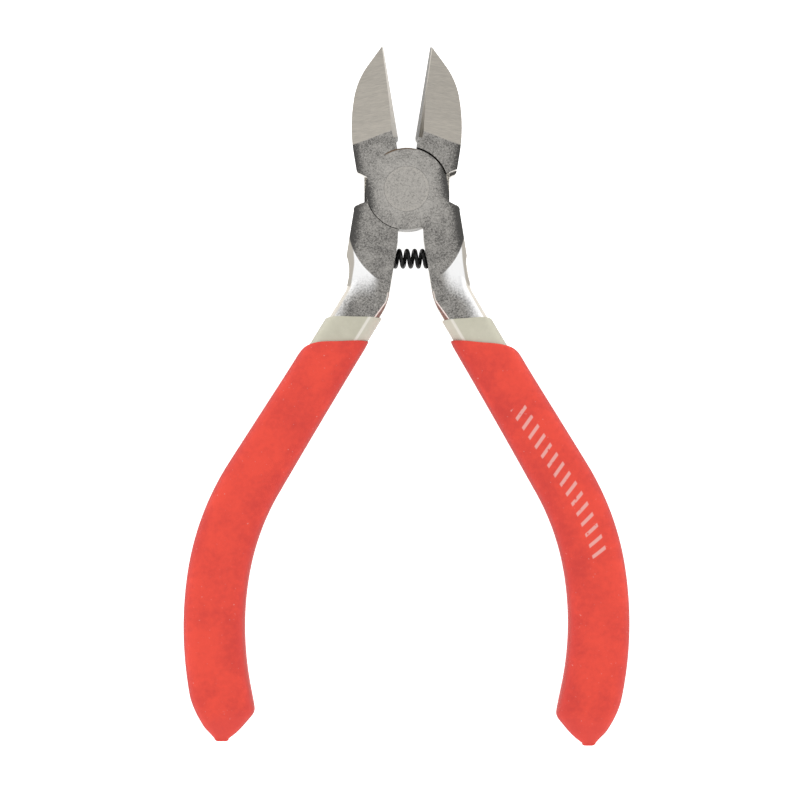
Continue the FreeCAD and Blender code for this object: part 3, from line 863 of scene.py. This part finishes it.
@dataclass
class Handle:
    """Inner sleeve and outer grip of one handle."""

    side: Side
    inner_face: float
    tang_width: float
    lean: float
    tip_width: float
    tip_drop: float
    tail_end_turn: float
    sleeve_lean: float
    grip_lean: float
    tip_shift: float = 1.55
    outer_length: float = 8.5
    outer_power: float = 1.7
    inner_slope: float = 1.5
    height_slope: float = 0.58
    tang_end_turn: float = 10.0
    tang_height: float = 6.2
    tang_flat: float = 1.4
    tang_round: float = 1.17
    sleeve_wall: float = 0.45
    sleeve_drop: float = 22.0
    grip_drop: float = 26.4
    lip_round: float = 0.9
    grip_width: float = 9.4
    palm_width: float = 10.6
    inner_trim: float = 0.5
    lip_sag: float = 1.3
    grip_height: float = 8.0
    clearance: float = 0.02

    def __post_init__(self) -> None:
        """Lay out the centre line that both coats follow."""
        self.line = HandleLine(self.side, self.inner_face, self.tang_width, self.lean,
                               tail_end_turn=self.tail_end_turn, tip_length=self.tip_drop)
        self.angle = np.linspace(0.0, 2 * math.pi, 120, endpoint=False)

    @property
    def word(self) -> str:
        """Side of the tool in a piece's name."""
        return self.side.name.lower()

    def coated(self, coat: float) -> Section:
        """Section of the tang with a coat of even thickness on it."""
        return Section(self.tang_width / 2 + coat, self.tang_height / 2 + coat, self.tang_flat,
                       self.tang_round)

    def sleeve(self) -> bpy.types.Object:
        """Thin sleeve round the tang, with its lip bare above the grip.

        Returns:
            The sleeve as an object.
        """
        tang_end = self.line.station_at(self.tang_end_turn)
        sleeve_end = self.line.station_at(self.line.sleeve_turn)
        coat = DippedCoat(self.line, self.line.station_below(self.sleeve_drop), 0.2, tang_end + 0.05,
                          sleeve_end, 0.08, 0.5, self.sleeve_lean)
        fall = np.linspace(0.0, math.pi / 2, 8)
        outer_rows = np.concatenate([np.linspace(coat.lip + coat.lip_round, sleeve_end - 0.6, 90),
                                     sleeve_end - 0.6 + 0.5 * np.sin(fall[1:])])
        shrink = np.concatenate([np.ones(90), np.cos(fall[1:]) ** 0.35])
        shrink[-1] = 0.0
        reach = self.coated(self.sleeve_wall).reach(self.angle)[None, :] * shrink[:, None]
        return coat.build(f"{self.word}_sleeve", self.coated(self.clearance), reach, outer_rows, self.angle,
                          np.zeros_like(outer_rows))

    def grip(self) -> bpy.types.Object:
        """Thick grip: slim at its rolled lip, full in the palm, and tapered to a blunt tip set outwards.

        Half its width eases from the lip to the palm. On the outer side it then falls by a power of the
        nearness to the tip; on the inner side it is the smooth lesser of the width and a straight taper.
        Near the tip every row moves outwards by the square of that nearness.

        Returns:
            The grip as an object.
        """
        end = self.line.length
        lip = self.line.station_below(self.grip_drop)
        sleeve_end = self.line.station_at(self.line.sleeve_turn)
        coat = DippedCoat(self.line, lip, self.lip_round, sleeve_end + 0.05, end, 0.10,
                          self.lip_sag, self.grip_lean)
        outer_rows = np.concatenate([np.linspace(lip + self.lip_round, lip + 6.0, 24),
                                     np.linspace(lip + 6.0, end - 10.0, 130)[1:],
                                     np.linspace(end - 10.0, end, 60)[1:]])
        share = ease((outer_rows - lip) / (self.line.knots[3] - lip))
        width = self.grip_width + (self.palm_width - self.grip_width) * share
        left = end - outer_rows
        near_tip = np.clip(1 - left / self.outer_length, 0.0, 1.0)
        shift = self.tip_shift * near_tip ** 2
        outer_fall = self.palm_width / 2 - self.tip_width / 2 - self.tip_shift
        outer_half = width / 2 - outer_fall * near_tip ** self.outer_power - shift
        inner_tip = self.tip_width / 2 - self.tip_shift
        inner_taper = inner_tip + self.inner_slope * left
        inner_half = shift + smooth_least(width / 2 - self.inner_trim, inner_taper, 0.45)
        height = np.full_like(outer_rows, self.grip_height)
        half_height = smooth_least(height / 2, self.tip_width / 2 + self.height_slope * left, 0.30)
        swell = 1 - 0.05 * (1 - ease((outer_rows - lip) / 1.2))
        outer_half, inner_half, half_height = outer_half * swell, inner_half * swell, half_height * swell
        fall = np.linspace(0.0, math.pi / 2, 10)[1:]
        outer_rows = np.concatenate([outer_rows, end + 0.45 * np.sin(fall)])
        shrink = np.cos(fall) ** 0.4
        shrink[-1] = 0.0
        outward = np.cos(self.angle)[None, :] > 0
        half_width = np.where(outward, outer_half[:, None], inner_half[:, None])
        section = Section(half_width, half_height[:, None], sharpness=3.4)
        reach = section.reach(self.angle)
        reach = np.concatenate([reach, reach[-1:] * shrink[:, None]])
        shift = np.concatenate([shift, np.full(len(fall), shift[-1])])
        inside = self.coated(self.sleeve_wall + self.clearance)
        return coat.build(f"{self.word}_grip", inside, reach, outer_rows, self.angle, shift)


@dataclass
class Spring:
    """Coil spring between the two wells, along X."""

    wire: float = 0.34
    turns: float = 7.0
    closed_turns: float = 0.75
    around: int = 14
    steps: int = 560

    def build(self) -> bpy.types.Object:
        """Tube of wire round a helix.

        The helix climbs at an even pitch between two nearly closed end coils. Its centre is
        (x(t), r cos a, r sin a), and the wire is a circle in the plane of the coil's radius and axis.

        Returns:
            The spring as an object.
        """
        low, high = (np.array(corner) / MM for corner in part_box("return_spring"))
        middle = (low + high) / 2
        radius = (high[2] - low[2]) / 2 - self.wire
        share = np.linspace(0.0, 1.0, self.steps)
        turn = 2 * math.pi * self.turns * share
        flat = self.closed_turns / self.turns
        climb = np.clip((share - flat) / (1 - 2 * flat), 0.0, 1.0)
        closed = 2.05 * self.wire * self.closed_turns
        first, last = low[0] + self.wire, high[0] - self.wire
        x = first + closed * np.clip(share / flat, 0, 1) + closed * np.clip((share - 1 + flat) / flat, 0, 1)
        x = x + (last - first - 2 * closed) * climb
        out = np.stack([np.zeros_like(turn), np.cos(turn), np.sin(turn)], axis=-1)
        centre = np.stack([x, np.full_like(x, middle[1]), np.full_like(x, middle[2])], axis=-1)
        centre = centre + radius * out
        tangent = np.gradient(centre, axis=0)
        tangent /= np.linalg.norm(tangent, axis=1, keepdims=True)
        beside = np.cross(tangent, out)
        angle = np.linspace(0.0, 2 * math.pi, self.around, endpoint=False)
        ring = out[:, None] * np.cos(angle)[None, :, None] + beside[:, None] * np.sin(angle)[None, :, None]
        tube = centre[:, None] + self.wire * ring
        ends = [np.repeat(centre[index][None, None], self.around, axis=1) for index in (0, -1)]
        rows = np.concatenate([ends[0], tube, ends[1]])
        return make_mesh("coil_spring", rows, {}, False)


# ---------------------------------------------------------------- studio


@dataclass
class Studio:
    """Pale floor, soft tent of light, and a camera straight above the tool."""

    view_width: float = 0.1310
    view_x: float = -0.0011
    view_y: float = -0.0346
    camera_height: float = 0.5
    sensor: float = 36.0
    floor_half: float = 1.5
    floor_glow: float = 0.9
    tent_low: float = 1.42
    tent_high: float = 0.64

    def floor(self) -> None:
        """Plain pale floor under the tool."""
        half = self.floor_half
        mesh = bpy.data.meshes.new("floor")
        corners = [(-half, -half), (half, -half), (half, half), (-half, half)]
        mesh.from_pydata([(x, y, -0.00005) for x, y in corners], [], [(0, 1, 2, 3)])
        floor = bpy.data.objects.new("floor", mesh)
        bpy.context.scene.collection.objects.link(floor)
        g = Graph("Pale_floor")
        cloud = g.noise(g.place((1.0, 1.0, 1.0)), 3.0, 2.0)
        colour = g.mix(cloud, (0.90, 0.90, 0.90), (0.93, 0.93, 0.925))
        floor.data.materials.append(g.finish(Base_Color=colour, Roughness=0.8,
                                             Emission_Color=(1.0, 1.0, 1.0, 1.0),
                                             Emission_Strength=self.floor_glow))

    def tent(self) -> None:
        """Soft light from every side, dimmer straight above, as in a small light tent."""
        world = bpy.data.worlds.new("Light_tent")
        bpy.context.scene.world = world
        world.use_nodes = True
        tree = world.node_tree
        tree.nodes.clear()
        source = tree.nodes.new("ShaderNodeTexCoord")
        split = tree.nodes.new("ShaderNodeSeparateXYZ")
        ramp = tree.nodes.new("ShaderNodeMapRange")
        ramp.interpolation_type = "SMOOTHSTEP"
        for index, value in ((1, 0.60), (2, 0.93), (3, self.tent_low), (4, self.tent_high)):
            ramp.inputs[index].default_value = value
        background = tree.nodes.new("ShaderNodeBackground")
        output = tree.nodes.new("ShaderNodeOutputWorld")
        tree.links.new(source.outputs["Generated"], split.inputs[0])
        tree.links.new(split.outputs["Z"], ramp.inputs[0])
        tree.links.new(ramp.outputs[0], background.inputs["Strength"])
        tree.links.new(background.outputs[0], output.inputs["Surface"])

    def softbox(self, name: str, spot: tuple[float, float, float], size: float, power: float) -> None:
        """Square lamp that faces the middle of the tool.

        Args:
            name: Name of the lamp.
            spot: Place of the lamp, in metres.
            size: Side of the square, in metres.
            power: Power in watts.
        """
        lamp = bpy.data.lights.new(name, "AREA")
        lamp.shape = "SQUARE"
        lamp.size = size
        lamp.energy = power
        holder = bpy.data.objects.new(name, lamp)
        holder.location = spot
        direction = np.array([self.view_x, self.view_y, 0.0]) - np.array(spot)
        yaw = math.atan2(direction[1], direction[0]) - math.pi / 2
        pitch = math.acos(-direction[2] / np.linalg.norm(direction))
        holder.rotation_euler = (pitch, 0.0, yaw)
        bpy.context.scene.collection.objects.link(holder)

    def camera(self) -> None:
        """Camera whose view is as wide as asked at the tool's front face."""
        data = bpy.data.cameras.new("camera")
        data.sensor_width = self.sensor
        data.lens = self.sensor * self.camera_height / self.view_width
        data.clip_start = 0.01
        camera = bpy.data.objects.new("camera", data)
        camera.location = (self.view_x, self.view_y, self.camera_height + 2 * MIDDLE_HEIGHT * MM)
        bpy.context.scene.collection.objects.link(camera)
        bpy.context.scene.camera = camera

    def build(self) -> None:
        """Set up the floor, the lights and the camera."""
        self.floor()
        self.tent()
        self.softbox("top_softbox", (-0.12, 0.12, 1.1), 1.2, 2.0)
        self.camera()
        bpy.context.scene.view_settings.view_transform = "Standard"


# ---------------------------------------------------------------- assembly


@dataclass
class Nippers:
    """The whole tool: its CAD metal dressed, and its coats and spring built anew."""

    frame: dict

    def dress(self, node: str, material: bpy.types.Material) -> None:
        """Give a CAD node its finish.

        Args:
            node: Name of the node.
            material: Finish that it takes.
        """
        piece = self.frame["nodes"][node]
        piece.data.materials.clear()
        piece.data.materials.append(material)
        LOG.info("dressed %s in %s", node, material.name)

    def metal(self) -> None:
        """Dress the two levers and the rivet."""
        right = ForgedSteel("Tumbled_steel_front", inner_face=RIGHT_INNER_FACE, tang_width=RIGHT_TANG_WIDTH,
                            patch_across=2.2, patch_narrowness=1.15)
        left = ForgedSteel("Tumbled_steel_rear", inner_face=LEFT_INNER_FACE, tang_width=LEFT_TANG_WIDTH,
                           patch_across=3.0, patch_narrowness=0.8, flipped=True)
        self.dress("front_lever", right.build())
        self.dress("rear_lever", left.build())
        self.dress("pivot_rivet", RivetSteel().build())

    def coats(self) -> None:
        """Build both sleeves and both grips."""
        cream = DippedVinyl("Cream_inner_dip", (0.60, 0.58, 0.47), (0.52, 0.50, 0.40), (0.86, 0.83, 0.76),
                            0.42, 0.00002, ridge_highlighted=True).build()
        handles = (
            Handle(Side.RIGHT, RIGHT_INNER_FACE, RIGHT_TANG_WIDTH, lean=21.3, tip_width=2.2, tip_drop=8.75,
                   tail_end_turn=21.0, sleeve_lean=-0.12, grip_lean=0.09, sleeve_drop=22.45,
                   grip_drop=26.75, lip_sag=0.8),
            Handle(Side.LEFT, LEFT_INNER_FACE, LEFT_TANG_WIDTH, lean=22.4, tip_width=2.3, tip_drop=7.35,
                   tail_end_turn=20.3, sleeve_lean=-0.06, grip_lean=0.0))
        for handle in handles:
            body = "front_side" if handle.side is Side.RIGHT else "rear_side"
            red = DippedVinyl(f"Red_outer_dip_{handle.word}", (0.86, 0.082, 0.053), (0.66, 0.058, 0.046),
                              (0.86, 0.50, 0.46), 0.62, 0.00005, handle.side is Side.RIGHT).build()
            for piece, node, material, slot in (
                    (handle.sleeve(), f"{handle.word}_inner_sleeve", cream, "inner_dip"),
                    (handle.grip(), f"{handle.word}_outer_grip", red, "outer_dip")):
                piece.data.materials.append(material)
                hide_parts(node)
                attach(piece, body)
                LOG.info("built %s with %d points", piece.name, len(piece.data.vertices))

    def spring(self) -> None:
        """Build the spring between the two sides."""
        piece = Spring().build()
        piece.data.materials.append(SpringSteel().build())
        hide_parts("return_spring")
        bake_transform(piece)
        LOG.info("built %s with %d points", piece.name, len(piece.data.vertices))


def main() -> None:
    """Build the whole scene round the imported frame."""
    logging.basicConfig(level=logging.INFO, format="%(message)s")
    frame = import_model()
    nippers = Nippers(frame)
    nippers.metal()
    nippers.coats()
    nippers.spring()
    Studio().build()


if __name__ == "__main__":
    main()
